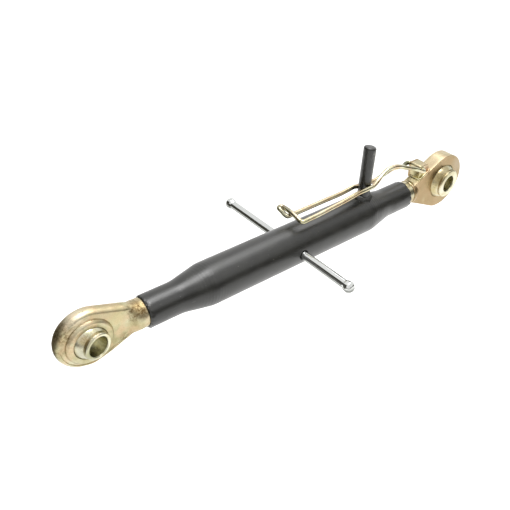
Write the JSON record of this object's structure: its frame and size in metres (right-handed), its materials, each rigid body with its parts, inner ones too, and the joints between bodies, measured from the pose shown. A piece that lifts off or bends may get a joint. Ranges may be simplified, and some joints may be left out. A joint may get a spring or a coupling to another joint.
{
  "type": "tractor top link",
  "caption": "Adjustable three-point top link: turnbuckle tube with cross bar, two ball ends and a spring wire locking clip over a post.",
  "frame": {"origin": "centre of the front ball, which sits on the tractor's top link pin", "axes": "+X along the tube from the front ball to the rear ball, +Z along the locking post, Y along both pins"},
  "size_m": [0.5184, 0.19, 0.1134],
  "materials": {
    "black_paint": "satin gloss",
    "forged_zinc": "yellow passivated zinc over a forged skin",
    "plate_zinc": "yellow passivated zinc",
    "ball_zinc": "yellow passivated zinc, turned",
    "bright_zinc": "bright zinc plating",
    "wire_zinc": "yellow passivated zinc on drawn wire"
  },
  "bodies": {
    "front_end": {"front_eye": "forged_zinc"},
    "barrel": {"tube": "black_paint", "locking_post": "black_paint", "post_weld": "black_paint"},
    "rear_end": {"rear_eye": "plate_zinc", "rear_stud": "forged_zinc", "rear_weld": "plate_zinc", "clip_lug": "plate_zinc", "lug_weld": "plate_zinc"},
    "clip": {"clip_wire": "wire_zinc"},
    "cross_bar": {"tommy_bar": "bright_zinc"},
    "front_ball": {"front_ball": "ball_zinc"},
    "rear_ball": {"rear_ball": "ball_zinc"}
  },
  "joints": [
    {"name": "front_screw", "type": "slide", "parent": "front_end", "child": "barrel", "axis": [1, 0, 0], "range_m": [0, 0.075]},
    {"name": "rear_screw", "type": "slide", "parent": "barrel", "child": "rear_end", "axis": [1, 0, 0], "range_m": [0, 0.075]},
    {"name": "clip_hinge", "type": "hinge", "parent": "rear_end", "child": "clip", "pos_m": [0.4159, 0, 0.0272], "axis": [0, 1, 0], "range_deg": [0, 110]},
    {"name": "bar_slide", "type": "slide", "parent": "barrel", "child": "cross_bar", "axis": [0, 1, 0], "range_m": [-0.0715, 0.0565]},
    {"name": "front_swivel", "type": "hinge", "parent": "front_end", "child": "front_ball", "pos_m": [0, 0, 0], "axis": [0, 0, 1], "range_deg": [-24, 2.5]},
    {"name": "rear_swivel", "type": "hinge", "parent": "rear_end", "child": "rear_ball", "pos_m": [0.4563, 0, 0], "axis": [0, 0, 1], "range_deg": [-18, 12]}
  ],
  "couplings": [
    {"joint": "rear_screw", "follows": "front_screw", "ratio": 1}
  ]
}
